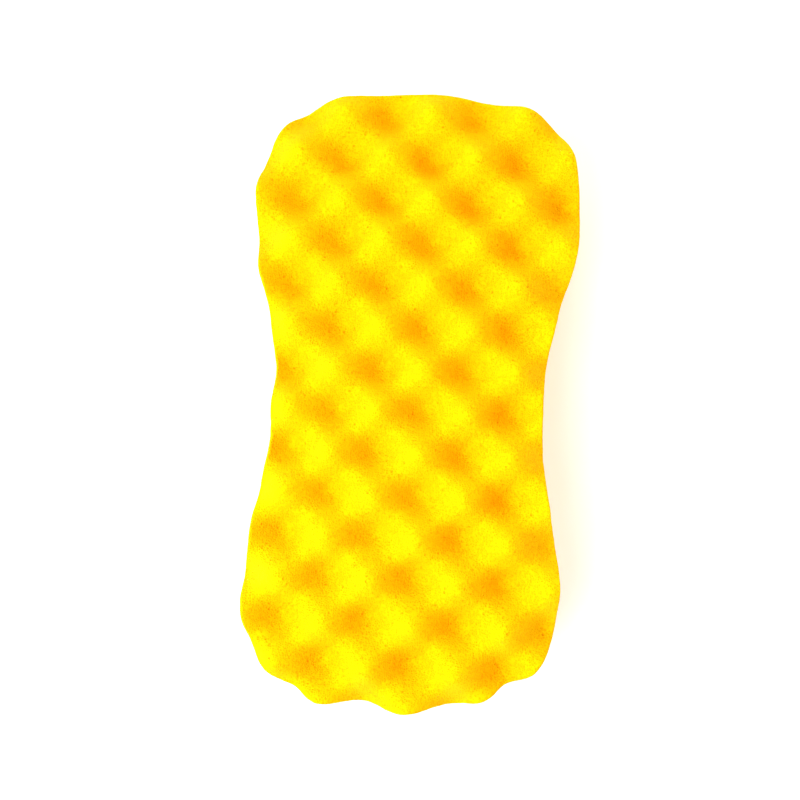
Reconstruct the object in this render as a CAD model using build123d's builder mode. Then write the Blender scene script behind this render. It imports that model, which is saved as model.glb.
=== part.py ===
"""Cleaning sponge: one block of convoluted (egg-crate) foam, die-cut to a figure-of-eight outline.

The sponge lies on its plain back with its bumpy face up.
X runs across it, Y along it towards the wider lobe, and Z up through its thickness.
The origin is on the back face, below the middle of the block. All sizes are in millimetres.
"""

import os
from math import acos, atan2, ceil, cos, degrees, floor, pi, sin

from build123d import *

# Die-cut outline
length = 210.0
wide_lobe_width = 111.5
narrow_lobe_width = 108.0
waist_width = 92.0
wide_lobe_reach = 63.0  # from the waist to where the lobe is widest
narrow_lobe_reach = 62.0
side_radius = 77.0
corner_radius = 32.0
end_radius = 128.0

# Block and its egg-crate face
thickness = 50.0  # over the tops of the bumps
bump_depth = 15.0  # from a bump's top down to the hollow beside it
pitch_across = 30.6  # from bump to bump along a row
pitch_along = 29.0  # from a row to the second one after it, past the staggered row between
first_bump_across = 5.3  # where one bump's top stands
first_bump_along = 10.4
spare = 4.0  # the uncut sheet reaches this far beyond the block on every side

# Heights of a cubic curve's control points, level at both ends, from a bump's top to a hollow
fall = (1, 1, -1, -1)


def lobe_quarter(lobe_width, reach, side):
    """Arcs from the middle of one end round to the waist, tangent to one another.

    side is 1 for the lobe towards +Y and -1 for the other.
    """
    end_centre = Vector(0, length / 2 - end_radius)
    side_centre = Vector(lobe_width / 2 - side_radius, reach)

    # The corner's circle touches the end's and the side's circles from inside.
    from_end = end_radius - corner_radius
    from_side = side_radius - corner_radius
    between = side_centre - end_centre
    lean = acos((from_end**2 + between.length**2 - from_side**2) / (2 * from_end * between.length))
    end_angle = atan2(between.Y, between.X) - lean
    corner_centre = end_centre + Vector(cos(end_angle), sin(end_angle)) * from_end
    corner_arm = corner_centre - side_centre
    corner_angle = atan2(corner_arm.Y, corner_arm.X)

    # The waist's circle touches the side's circle from outside.
    hollow = (lobe_width - waist_width) / 2
    waist_radius = (hollow**2 + reach**2) / (2 * hollow) - side_radius
    waist_centre = Vector(waist_width / 2 + waist_radius, 0)
    waist_arm = waist_centre - side_centre
    waist_angle = atan2(waist_arm.Y, waist_arm.X)

    arcs = [
        (end_centre, end_radius, pi / 2, end_angle),
        (corner_centre, corner_radius, end_angle, corner_angle),
        (side_centre, side_radius, corner_angle, waist_angle),
        (waist_centre, waist_radius, pi + waist_angle, pi),
    ]
    for centre, radius, start, stop in arcs:
        CenterArc((centre.X, side * centre.Y), radius, side * degrees(start), side * degrees(stop - start))


def cells(first_bump, pitch, half_size):
    """Numbers of the half-pitch cells that cover the block, counted from one bump's top."""
    lowest = (-half_size - spare - first_bump) / (pitch / 2)
    highest = (half_size + spare - first_bump) / (pitch / 2)
    return range(floor(lowest), ceil(highest))


def cell_face(column, row):
    """Bicubic patch of one cell, with bumps at two of its corners and hollows at the others."""
    left = first_bump_across + column * pitch_across / 2
    front = first_bump_along + row * pitch_along / 2
    middle = thickness - bump_depth / 2
    rise = bump_depth / 2 * (-1) ** (column + row)
    return Face.make_bezier_surface(
        [
            [
                Vector(left + pitch_across / 6 * i, front + pitch_along / 6 * j, middle + rise * across * along)
                for j, along in enumerate(fall)
            ]
            for i, across in enumerate(fall)
        ]
    )


# Egg-crate surface of the uncut sheet
widest = max(wide_lobe_width, narrow_lobe_width)
egg_crate = Shell(
    cell_face(column, row)
    for column in cells(first_bump_across, pitch_across, widest / 2)
    for row in cells(first_bump_along, pitch_along, length / 2)
)

with BuildPart() as sponge:
    with BuildSketch(Plane.XY):
        with BuildLine():
            lobe_quarter(wide_lobe_width, wide_lobe_reach, 1)
            lobe_quarter(narrow_lobe_width, narrow_lobe_reach, -1)
            mirror(about=Plane.YZ)
        make_face()
    extrude(amount=thickness + spare)
    split(bisect_by=egg_crate, keep=Keep.BOTTOM)

sponge.part.label = "sponge"

os.makedirs("parts", exist_ok=True)
export_step(sponge.part, "parts/sponge.step")
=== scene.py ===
"""Looks of the cleaning sponge: yellow egg-crate foam, lying on its flat back on a pale floor.

Everything is in metres and in the CAD model's frame: X across the sponge, Y along it and Z up.
"""

from math import acos, atan2, cos, pi, radians, sin

import bpy
import numpy as np
from mathutils import Matrix, Vector, noise


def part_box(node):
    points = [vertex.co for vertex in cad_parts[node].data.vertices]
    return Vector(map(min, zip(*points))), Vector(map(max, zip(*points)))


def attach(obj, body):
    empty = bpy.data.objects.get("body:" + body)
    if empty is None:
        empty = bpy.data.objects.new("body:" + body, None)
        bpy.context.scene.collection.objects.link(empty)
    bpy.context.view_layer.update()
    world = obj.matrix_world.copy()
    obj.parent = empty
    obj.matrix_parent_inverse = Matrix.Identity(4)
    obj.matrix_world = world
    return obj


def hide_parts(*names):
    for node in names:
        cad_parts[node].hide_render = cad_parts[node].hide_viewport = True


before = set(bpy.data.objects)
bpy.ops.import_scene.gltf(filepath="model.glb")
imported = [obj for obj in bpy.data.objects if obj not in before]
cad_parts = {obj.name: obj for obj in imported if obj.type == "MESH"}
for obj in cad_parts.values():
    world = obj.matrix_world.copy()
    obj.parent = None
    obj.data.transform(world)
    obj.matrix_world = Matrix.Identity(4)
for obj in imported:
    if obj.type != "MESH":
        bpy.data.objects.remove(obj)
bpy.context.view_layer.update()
low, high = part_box("sponge")

MM = 0.001

# Block, from the CAD model's box
LENGTH = high.y - low.y
WIDE_LOBE = high.x - low.x
THICKNESS = high.z - low.z

# The rest of the die-cut outline
NARROW_LOBE = 108 * MM
WAIST = 92 * MM
WIDE_REACH = 63 * MM  # from the waist to where the lobe is widest
NARROW_REACH = 62 * MM
SIDE_RADIUS = 77 * MM
CORNER_RADIUS = 32 * MM
END_RADIUS = 128 * MM

# Egg-crate face
BUMP_DEPTH = 15 * MM
PITCH = np.array([30.6, 29.0]) * MM
FIRST_BUMP = np.array([5.3, 10.4]) * MM
TOP_GAP = 0.4 * MM  # room for the uneven bumps under the block's full thickness

# Unevenness of soft foam: how far, and the size of its waves
BUMP_STRAY, STRAY_SIZE = 0.9 * MM, 28 * MM
BUMP_RISE, RISE_SIZE = 0.5 * MM, 35 * MM
SWELL, SWELL_SIZE = 0.35 * MM, 16 * MM
GRAIN, GRAIN_SIZE = 0.12 * MM, 3 * MM

# Cut edges and walls
TOP_EDGE_RADIUS = 0.8 * MM
BACK_EDGE_RADIUS = 0.6 * MM
WALL_DISH = 0.8 * MM  # foam is squeezed under the cutting die, so its walls spring back slightly hollow
RIM_SPRING = 0.3 * MM  # and its rim springs out a little

# Where the soft rim bulges out, or is drawn in where negative: (x, y), how far and how wide
RIM_BULGES = [
    ((-33, -99), -0.8, 4),
    ((-26, -102), 1.3, 7),
    ((0, -105), 0.8, 8),
    ((38, -97), -2.0, 7),
    ((52, -80), 1.0, 12),
    ((47, 92), 1.1, 9),
    ((-44, 95), 1.0, 6),
    ((3, 105), -0.7, 12),
    ((-56, 66), -1.0, 9),
    ((-54, -51), -1.4, 8),
]

# Colours of the foam, warmer in the hollows as painted shade, and what its mottling and the painted
# shade in its pores and bubbles multiply them by
# painted shade: the hollows' yellow is warmer than the bumps', as the hollows lie in shade
SHADED_HOLLOW_YELLOW = (1.0, 0.54, 0.0)
BUMP_YELLOW = (1.0, 0.58, 0.0)
MOTTLE_SHADE = (1.0, 0.96, 0.88)
# painted shade: how much darker and warmer the middles of the pores and bubbles are
PORE_PAINTED_SHADE = (1.0, 0.86, 0.7)
BUBBLE_PAINTED_SHADE = (1.0, 0.84, 0.65)

# Open cells of the foam: how far apart they are, and how deep they look
PORE_SIZE, PORE_DEPTH = 0.9 * MM, 0.25 * MM
BUBBLE_SIZE, BUBBLE_DEPTH = 2.9 * MM, 0.15 * MM
MOTTLE_SIZE = 9 * MM

# Where in its pattern each one starts and is full: pores from a cell's edge, bubbles from its middle
PORE_FADE = 0.05, 0.4
BUBBLE_FADE = 0.28, 0.06
MOTTLE_FADE = 0.4, 0.7

# Mesh fineness
ACROSS = 112
ALONG = 208
EDGE_STEPS = 4
WALL_ROWS = 30

# Flat layout for baking: a square this wide, the room for one face, and the strip for half of the wall
LAYOUT_SIZE = 300 * MM
SPACING = 4 * MM
FACE_SPACE = WIDE_LOBE + 2 * SPACING
WALL_STRIP = 280 * MM

# Table, and the light on it
FLOOR_WIDTH = 12
FLOOR_WHITE = 0.88
FLOOR_GLOW = 0.36
TENT_STRENGTH = 2.0
SOFTBOX_WIDTH = 0.4
KEY_PLACE, KEY_WATTS = (-0.18, -0.1, 0.36), 2.3
FAR_PLACE, FAR_WATTS = (0, 0.4, 0.25), 0.65

# Camera
CAMERA_PLACE = Vector((23, -9, 450.5)) * MM
CAMERA_AIM = Vector((-2.0, -0.6, 50)) * MM
CAMERA_ROLL = radians(2.79)
LENS, SENSOR_WIDTH = 53.9, 36


# ---- Outline ----


def lobe_arcs(lobe_width, reach):
    """Arcs (centre, radius, start, stop) for +X and +Y, from the middle of the end to the waist:
    those up to the middle of the corner, and those after it."""
    end_centre = Vector((0, LENGTH / 2 - END_RADIUS))
    side_centre = Vector((lobe_width / 2 - SIDE_RADIUS, reach))
    from_end = END_RADIUS - CORNER_RADIUS
    from_side = SIDE_RADIUS - CORNER_RADIUS
    between = side_centre - end_centre
    span = between.length
    lean = acos((from_end**2 + span**2 - from_side**2) / (2 * from_end * span))
    end_angle = atan2(between.y, between.x) - lean
    corner_centre = end_centre + from_end * Vector((cos(end_angle), sin(end_angle)))
    arm = corner_centre - side_centre
    corner_angle = atan2(arm.y, arm.x)
    hollow = (lobe_width - WAIST) / 2
    waist_radius = (hollow**2 + reach**2) / (2 * hollow) - SIDE_RADIUS
    waist_centre = Vector((WAIST / 2 + waist_radius, 0))
    arm = waist_centre - side_centre
    waist_angle = atan2(arm.y, arm.x)
    half_corner = (end_angle + corner_angle) / 2
    end_part = [
        (end_centre, END_RADIUS, pi / 2, end_angle),
        (corner_centre, CORNER_RADIUS, end_angle, half_corner),
    ]
    side_part = [
        (corner_centre, CORNER_RADIUS, half_corner, corner_angle),
        (side_centre, SIDE_RADIUS, corner_angle, waist_angle),
        (waist_centre, waist_radius, pi + waist_angle, pi),
    ]
    return end_part, side_part


def along_arcs(arcs, count):
    """count + 1 points, evenly spaced along a chain of arcs."""
    joins = np.cumsum([0] + [radius * abs(stop - start) for _, radius, start, stop in arcs])
    points = []
    for distance in np.linspace(0, joins[-1], count + 1):
        number = int(np.searchsorted(joins[1:-1], distance))
        centre, radius, start, stop = arcs[number]
        angle = start + (stop - start) * (distance - joins[number]) / (joins[number + 1] - joins[number])
        points.append((centre.x + radius * cos(angle), centre.y + radius * sin(angle)))
    return np.array(points)


def mirrored(points, x=1, y=1):
    """The points with X, Y or both turned round, by a factor of -1."""
    return points * np.array([x, y])


def outline_sides():
    """The outline's four sides, each from the middle of one corner to the middle of the next:
    the two ends from -X to +X, and the two long sides from -Y to +Y."""
    wide_end, wide_side = lobe_arcs(WIDE_LOBE, WIDE_REACH)
    narrow_end, narrow_side = lobe_arcs(NARROW_LOBE, NARROW_REACH)
    upper = along_arcs(wide_end, ACROSS // 2)
    lower = mirrored(along_arcs(narrow_end, ACROSS // 2), y=-1)
    upper_side = along_arcs(wide_side, ALONG // 2)
    lower_side = mirrored(along_arcs(narrow_side, ALONG // 2), y=-1)
    far_end = np.vstack([mirrored(upper, x=-1)[::-1], upper[1:]])
    near_end = np.vstack([mirrored(lower, x=-1)[::-1], lower[1:]])
    right = np.vstack([lower_side, upper_side[::-1][1:]])
    return near_end, right, far_end, mirrored(right, x=-1)


def ring_of(near_end, right, far_end, left):
    """One closed ring of points, anticlockwise from the near end's -X corner."""
    return np.vstack([near_end[:-1], right[:-1], far_end[::-1][:-1], left[::-1][:-1]])


def ring_normals(ring):
    """Outward directions of an anticlockwise ring."""
    along = np.roll(ring, -1, 0) - np.roll(ring, 1, 0)
    out = np.stack([along[:, 1], -along[:, 0]], 1)
    return out / np.linalg.norm(out, axis=1)[:, None]


def bulged(ring):
    """The ring sprung out all round, with its local bulges and dents."""
    outward = ring_normals(ring)
    push = np.full(len(ring), RIM_SPRING)
    for place, height, width in RIM_BULGES:
        gap = np.linalg.norm(ring - np.array(place) * MM, axis=1)
        push += height * MM * np.exp(-((gap / (width * MM)) ** 2))
    return ring + outward * push[:, None]


def filled(ring):
    """Grid of points [across, along] that fills a ring: the blend of its four sides."""
    corners = np.cumsum([0, ACROSS, ALONG, ACROSS])
    closed = np.vstack([ring, ring[:1]])
    near_end = closed[: ACROSS + 1]
    right = closed[corners[1] : corners[2] + 1]
    far_end = closed[corners[2] : corners[3] + 1][::-1]
    left = closed[corners[3] :][::-1]
    u = np.linspace(0, 1, ACROSS + 1)[:, None, None]
    v = np.linspace(0, 1, ALONG + 1)[None, :, None]
    ends = (1 - v) * near_end[:, None] + v * far_end[:, None]
    sides = (1 - u) * left[None] + u * right[None]
    corner_blend = (1 - v) * ((1 - u) * near_end[0] + u * near_end[-1])
    corner_blend = corner_blend + v * ((1 - u) * far_end[0] + u * far_end[-1])
    return ends + sides - corner_blend


# ---- Egg-crate relief ----


def fall(phase):
    """A smooth wave, level at 1 at each even phase and at -1 at each odd one."""
    step = np.abs((phase + 1) % 2 - 1)
    return 1 - 2 * step**2 * (3 - 2 * step)


def noise_at(points, size, seed):
    """Smooth noise from about -1 to 1, in waves of that size; each seed gives its own."""
    offset = Vector((seed * 17.3, seed * 5.1, seed * 9.7))
    return np.array([noise.noise(Vector(p) / size + offset) for p in points])


def relief(xy):
    """Height of the bumpy face over the floor at each point."""
    flat = np.column_stack([xy, np.zeros(len(xy))])
    stray = np.column_stack([noise_at(flat, STRAY_SIZE, seed) for seed in (1, 2)]) * BUMP_STRAY
    phase = 2 * (xy + stray - FIRST_BUMP) / PITCH
    wave = fall(phase[:, 0]) * fall(phase[:, 1])
    rise = BUMP_RISE * noise_at(flat, RISE_SIZE, seed=3)
    return THICKNESS - TOP_GAP - BUMP_DEPTH / 2 * (1 - wave) + rise


# ---- Mesh ----


def quads(grid):
    """The four corners of each cell of a grid, anticlockwise where it runs across, then along."""
    corners = [grid[:-1, :-1], grid[1:, :-1], grid[1:, 1:], grid[:-1, 1:]]
    return np.stack(corners, 2).reshape(-1, 4, *grid.shape[2:])


def rim_numbers(numbers):
    """A grid's border as one ring, in the outline's order."""
    near_end, right, far_end, left = numbers[:, 0], numbers[-1], numbers[::-1, -1], numbers[0, ::-1]
    return np.concatenate([side[:-1] for side in (near_end, right, far_end, left)])


def wall_rings(rim_height):
    """Rings (inset, heights) of the rounded upper edge, the dished wall and the rounded lower edge."""
    rings = []
    for step in range(1, EDGE_STEPS + 1):
        turn = pi / 2 * step / EDGE_STEPS
        inset = TOP_EDGE_RADIUS * (1 - sin(turn))
        rings.append((inset, rim_height - TOP_EDGE_RADIUS * (1 - cos(turn))))
    wall_top = rim_height - TOP_EDGE_RADIUS
    for row in range(1, WALL_ROWS + 1):
        share = row / WALL_ROWS
        rings.append((WALL_DISH * sin(pi * share), wall_top * (1 - share) + BACK_EDGE_RADIUS * share))
    for step in range(1, EDGE_STEPS):
        turn = pi / 2 * step / EDGE_STEPS
        inset = BACK_EDGE_RADIUS * (1 - cos(turn))
        rings.append((inset, np.full_like(rim_height, BACK_EDGE_RADIUS * (1 - sin(turn)))))
    return rings


def sponge_mesh():
    """The foam block: its bumpy face, wall and flat back as one closed mesh, with a flat layout."""
    outline = bulged(ring_of(*outline_sides()))
    normals = ring_normals(outline)

    # Points of the bumpy face, the wall's rings and the flat back
    top_ring = outline - normals * TOP_EDGE_RADIUS
    top = filled(top_ring)
    top_points = np.dstack([top, relief(top.reshape(-1, 2)).reshape(top.shape[:2])])
    rings = wall_rings(relief(top_ring))
    ring_points = [np.column_stack([outline - normals * inset, height]) for inset, height in rings]
    ring_points = np.array(ring_points)
    back = filled(outline - normals * BACK_EDGE_RADIUS)
    back_points = np.dstack([back, np.zeros(back.shape[:2])])

    # Numbers of those points, as grids
    top_numbers = np.arange(top[..., 0].size).reshape(top.shape[:2])
    ring_numbers = top_numbers.size + np.arange(ring_points[..., 0].size).reshape(ring_points.shape[:2])
    back_numbers = ring_numbers.max() + 1 + top_numbers
    wall = np.vstack([rim_numbers(top_numbers), ring_numbers, rim_numbers(back_numbers)])
    wall = np.column_stack([wall, wall[:, 0]])

    # Flat layout: the two faces side by side, half of the wall above them and half beside them
    half = len(outline) // 2
    along = np.linspace(0, 2 * WALL_STRIP, wall.shape[1])
    down = np.linspace(0, THICKNESS, wall.shape[0])
    strip = np.stack(np.meshgrid(along, down), -1)
    middle = np.array([FACE_SPACE, LENGTH + SPACING]) / 2
    faces = [
        quads(top_numbers),
        quads(back_numbers)[:, ::-1],
        quads(wall[:, : half + 1]),
        quads(wall[:, half:]),
    ]
    layout = [
        quads(top + middle),
        quads(mirrored(back, x=-1) + middle + [FACE_SPACE, 0])[:, ::-1],
        quads(strip[:, : half + 1] + [SPACING, LENGTH + 2 * SPACING]),
        quads((strip[:, half:] - [WALL_STRIP, 0])[..., ::-1] + [2 * FACE_SPACE, SPACING]),
    ]

    mesh = bpy.data.meshes.new("foam_block")
    points = np.vstack([block.reshape(-1, 3) for block in (top_points, ring_points, back_points)])
    mesh.from_pydata(points.tolist(), [], np.vstack(faces).tolist())
    flat = mesh.uv_layers.new(name="OFBake")
    flat.uv.foreach_set("vector", (np.vstack(layout) / LAYOUT_SIZE).ravel())
    mesh.update()
    mesh.polygons.foreach_set("use_smooth", [True] * len(mesh.polygons))
    return mesh


def roughen(mesh):
    """Pulls the surface in and out a little, as cut foam is never quite smooth."""
    places = np.array([v.co for v in mesh.vertices])
    outward = np.array([v.normal for v in mesh.vertices])
    swell = SWELL * noise_at(places, SWELL_SIZE, seed=4) + GRAIN * noise_at(places, GRAIN_SIZE, seed=5)
    on_back = places[:, 2] < 0.01 * MM
    swell[on_back] = 0
    places += outward * swell[:, None]
    places[:, 2] = np.maximum(places[:, 2], 0)  # nothing sinks into the floor
    mesh.vertices.foreach_set("co", places.ravel())
    mesh.update()


# ---- Material ----


def ramp(tree, value, start, stop):
    """0 to 1, smoothly, as the value goes from start to stop."""
    node = tree.nodes.new("ShaderNodeMapRange")
    node.interpolation_type = "SMOOTHSTEP"
    node.inputs["From Min"].default_value = start
    node.inputs["From Max"].default_value = stop
    tree.links.new(value, node.inputs["Value"])
    return node.outputs["Result"]


def cell_pattern(tree, place, size, feature):
    """Distances in a pattern of random cells of that size."""
    node = tree.nodes.new("ShaderNodeTexVoronoi")
    node.feature = feature
    node.inputs["Scale"].default_value = 1 / size
    tree.links.new(place, node.inputs["Vector"])
    return node.outputs["Distance"]


def mixed(tree, factor, first, second, blend="MIX"):
    """Two colours blended by a factor; each is an output or a plain colour."""
    node = tree.nodes.new("ShaderNodeMix")
    node.data_type = "RGBA"
    node.blend_type = blend
    tree.links.new(factor, node.inputs["Factor"])
    for name, colour in (("A", first), ("B", second)):
        if isinstance(colour, tuple):
            node.inputs[name].default_value = (*colour, 1)
        else:
            tree.links.new(colour, node.inputs[name])
    return node.outputs["Result"]


def dented(tree, depth_share, depth, below=None):
    """A normal sunk by up to a depth where the share is 1, over another normal."""
    node = tree.nodes.new("ShaderNodeBump")
    node.invert = True
    node.inputs["Distance"].default_value = depth
    tree.links.new(depth_share, node.inputs["Height"])
    if below:
        tree.links.new(below, node.inputs["Normal"])
    return node.outputs["Normal"]


def foam_material():
    """Matt open-cell foam: fine pores all over, some larger bubbles, and a slightly uneven yellow, with
    painted shade in the hollows, pores and bubbles.
    """
    material = bpy.data.materials.new("yellow_foam")
    material.use_nodes = True
    tree = material.node_tree
    shader = tree.nodes["Principled BSDF"]
    shader.inputs["Roughness"].default_value = 0.95
    shader.inputs["Specular IOR Level"].default_value = 0.05

    place = tree.nodes.new("ShaderNodeTexCoord").outputs["Object"]
    pores = ramp(tree, cell_pattern(tree, place, PORE_SIZE, "DISTANCE_TO_EDGE"), *PORE_FADE)
    bubbles = ramp(tree, cell_pattern(tree, place, BUBBLE_SIZE, "F1"), *BUBBLE_FADE)
    mottle = tree.nodes.new("ShaderNodeTexNoise")
    mottle.inputs["Scale"].default_value = 1 / MOTTLE_SIZE
    mottle.inputs["Detail"].default_value = 3
    tree.links.new(place, mottle.inputs["Vector"])
    height = tree.nodes.new("ShaderNodeSeparateXYZ")
    tree.links.new(place, height.inputs["Vector"])

    # Painted shade: deeper in the hollows the yellow is warmer, and so it is inside each pore and
    # bubble.
    raised = ramp(tree, height.outputs["Z"], THICKNESS - BUMP_DEPTH, THICKNESS)
    colour = mixed(tree, raised, SHADED_HOLLOW_YELLOW, BUMP_YELLOW)
    uneven = ramp(tree, mottle.outputs["Fac"], *MOTTLE_FADE)
    colour = mixed(tree, uneven, colour, MOTTLE_SHADE, "MULTIPLY")
    # painted shade inside the pores and the bubbles
    colour = mixed(tree, pores, colour, PORE_PAINTED_SHADE, "MULTIPLY")
    colour = mixed(tree, bubbles, colour, BUBBLE_PAINTED_SHADE, "MULTIPLY")
    tree.links.new(colour, shader.inputs["Base Color"])

    normal = dented(tree, pores, PORE_DEPTH)
    normal = dented(tree, bubbles, BUBBLE_DEPTH, normal)
    tree.links.new(normal, shader.inputs["Normal"])
    return material


def floor_material():
    """A white table, lit a little from below."""
    material = bpy.data.materials.new("pale_floor")
    material.use_nodes = True
    shader = material.node_tree.nodes["Principled BSDF"]
    shader.inputs["Base Color"].default_value = (FLOOR_WHITE, FLOOR_WHITE, FLOOR_WHITE, 1)
    shader.inputs["Roughness"].default_value = 0.8
    shader.inputs["Emission Color"].default_value = (1, 1, 1, 1)
    shader.inputs["Emission Strength"].default_value = FLOOR_GLOW
    return material


# ---- Pieces ----


def add_sponge():
    mesh = sponge_mesh()
    roughen(mesh)
    mesh.materials.append(foam_material())
    sponge = bpy.data.objects.new("foam_sponge", mesh)
    bpy.context.scene.collection.objects.link(sponge)
    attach(sponge, "root")
    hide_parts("sponge")


def add_floor():
    bpy.ops.mesh.primitive_plane_add(size=FLOOR_WIDTH)
    floor = bpy.context.object
    floor.name = "floor"
    floor.data.materials.append(floor_material())


# ---- Light and camera ----


def add_softbox(name, place, watts):
    """A round softbox that faces the sponge."""
    light = bpy.data.lights.new(name, "AREA")
    light.shape = "DISK"
    light.size = SOFTBOX_WIDTH
    light.energy = watts
    lamp = bpy.data.objects.new(name, light)
    lamp.location = place
    aim = Vector((0, 0, THICKNESS))
    lamp.rotation_euler = (aim - lamp.location).to_track_quat("-Z", "Y").to_euler()
    bpy.context.scene.collection.objects.link(lamp)


def add_lights():
    """A white tent that fades to dark overhead, a softbox above on the left and one at the far end."""
    world = bpy.data.worlds.new("tent")
    world.use_nodes = True
    nodes, links = world.node_tree.nodes, world.node_tree.links
    direction = nodes.new("ShaderNodeTexCoord")
    height = nodes.new("ShaderNodeSeparateXYZ")
    fade = nodes.new("ShaderNodeMapRange")
    fade.inputs["To Min"].default_value = 1
    fade.inputs["To Max"].default_value = 0
    links.new(direction.outputs["Generated"], height.inputs["Vector"])
    links.new(height.outputs["Z"], fade.inputs["Value"])
    links.new(fade.outputs["Result"], nodes["Background"].inputs["Color"])
    nodes["Background"].inputs["Strength"].default_value = TENT_STRENGTH
    bpy.context.scene.world = world
    add_softbox("key_softbox", KEY_PLACE, KEY_WATTS)
    add_softbox("far_softbox", FAR_PLACE, FAR_WATTS)


def add_camera():
    """A camera that looks down on the bumpy face, with the wide lobe at the top."""
    forward = (CAMERA_AIM - CAMERA_PLACE).normalized()
    right = forward.cross(Vector((0, 1, 0))).normalized()
    up = right.cross(forward)
    tilted_right = right * cos(CAMERA_ROLL) + up * sin(CAMERA_ROLL)
    tilted_up = up * cos(CAMERA_ROLL) - right * sin(CAMERA_ROLL)
    data = bpy.data.cameras.new("camera")
    data.sensor_width = SENSOR_WIDTH
    data.lens = LENS
    data.clip_start = 10 * MM
    camera = bpy.data.objects.new("camera", data)
    turned = Matrix((tilted_right, tilted_up, -forward)).transposed().to_4x4()
    camera.matrix_world = Matrix.Translation(CAMERA_PLACE) @ turned
    bpy.context.scene.collection.objects.link(camera)
    bpy.context.scene.camera = camera


add_sponge()
add_floor()
add_lights()
add_camera()
bpy.context.scene.view_settings.view_transform = "Standard"
